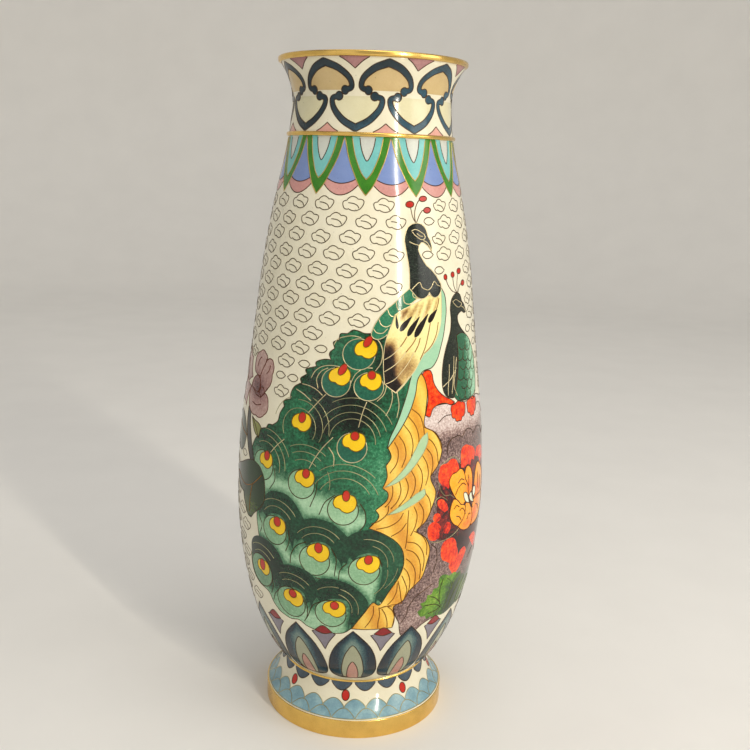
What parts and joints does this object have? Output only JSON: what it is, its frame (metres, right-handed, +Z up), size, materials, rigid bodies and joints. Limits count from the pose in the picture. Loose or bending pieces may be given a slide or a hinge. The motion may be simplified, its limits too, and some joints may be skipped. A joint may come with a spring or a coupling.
{
  "type": "cloisonne vase",
  "caption": "Tall cloisonne vase with a full belly, waisted neck, flared mouth and banded foot, for holding flowers or for display",
  "frame": {"origin": "centre of the foot's flat underside, on the vase's axis", "axes": "+Z up along the vase's axis, -Y is the front with the main bird, +X to the right of the front"},
  "size_m": [0.1164, 0.1164, 0.305],
  "materials": {
    "gilt_brass": "gilt, polished with faint drag marks",
    "bare_copper": "bare copper, dull",
    "cloison_wire": "ground flush, mostly dark brass with bright glints",
    "enamel_cream": "polished cream enamel, slightly mottled",
    "enamel_black": "polished black-green enamel",
    "enamel_dark_green": "polished dark green enamel with fine speckle",
    "enamel_emerald": "polished emerald enamel with fine speckle",
    "enamel_mint": "polished pale mint enamel",
    "enamel_leaf": "polished leaf-green enamel",
    "enamel_navy": "polished navy to teal enamel",
    "enamel_turquoise": "polished turquoise enamel",
    "enamel_blue": "polished periwinkle blue enamel",
    "enamel_sky": "polished sky-blue enamel",
    "enamel_lilac": "polished lilac-grey enamel, speckled",
    "enamel_pink": "polished dusty pink enamel",
    "enamel_red": "polished red enamel",
    "enamel_orange": "polished orange enamel",
    "enamel_yellow": "polished yellow enamel",
    "enamel_tan": "polished tan enamel",
    "enamel_gold": "polished golden ochre enamel",
    "enamel_brown": "polished dark brown enamel"
  },
  "bodies": {
    "root": {"copper_body": "bare_copper", "copper_neck": "bare_copper", "copper_foot": "bare_copper", "base_plate": "bare_copper", "mouth_rim": "gilt_brass", "neck_ring": "gilt_brass", "waist_ring": "gilt_brass", "foot_band": "gilt_brass", "enamel_neck": "enamel_cream", "enamel_collar": "enamel_leaf", "enamel_body": "enamel_cream", "enamel_petal_band": "enamel_navy", "enamel_foot": "enamel_sky", "enamel_lining": "enamel_turquoise", "enamel_base": "enamel_turquoise", "heart_wires": "cloison_wire", "lappet_wires": "cloison_wire", "petal_wires": "cloison_wire", "foot_wires": "cloison_wire"}
  },
  "joints": []
}
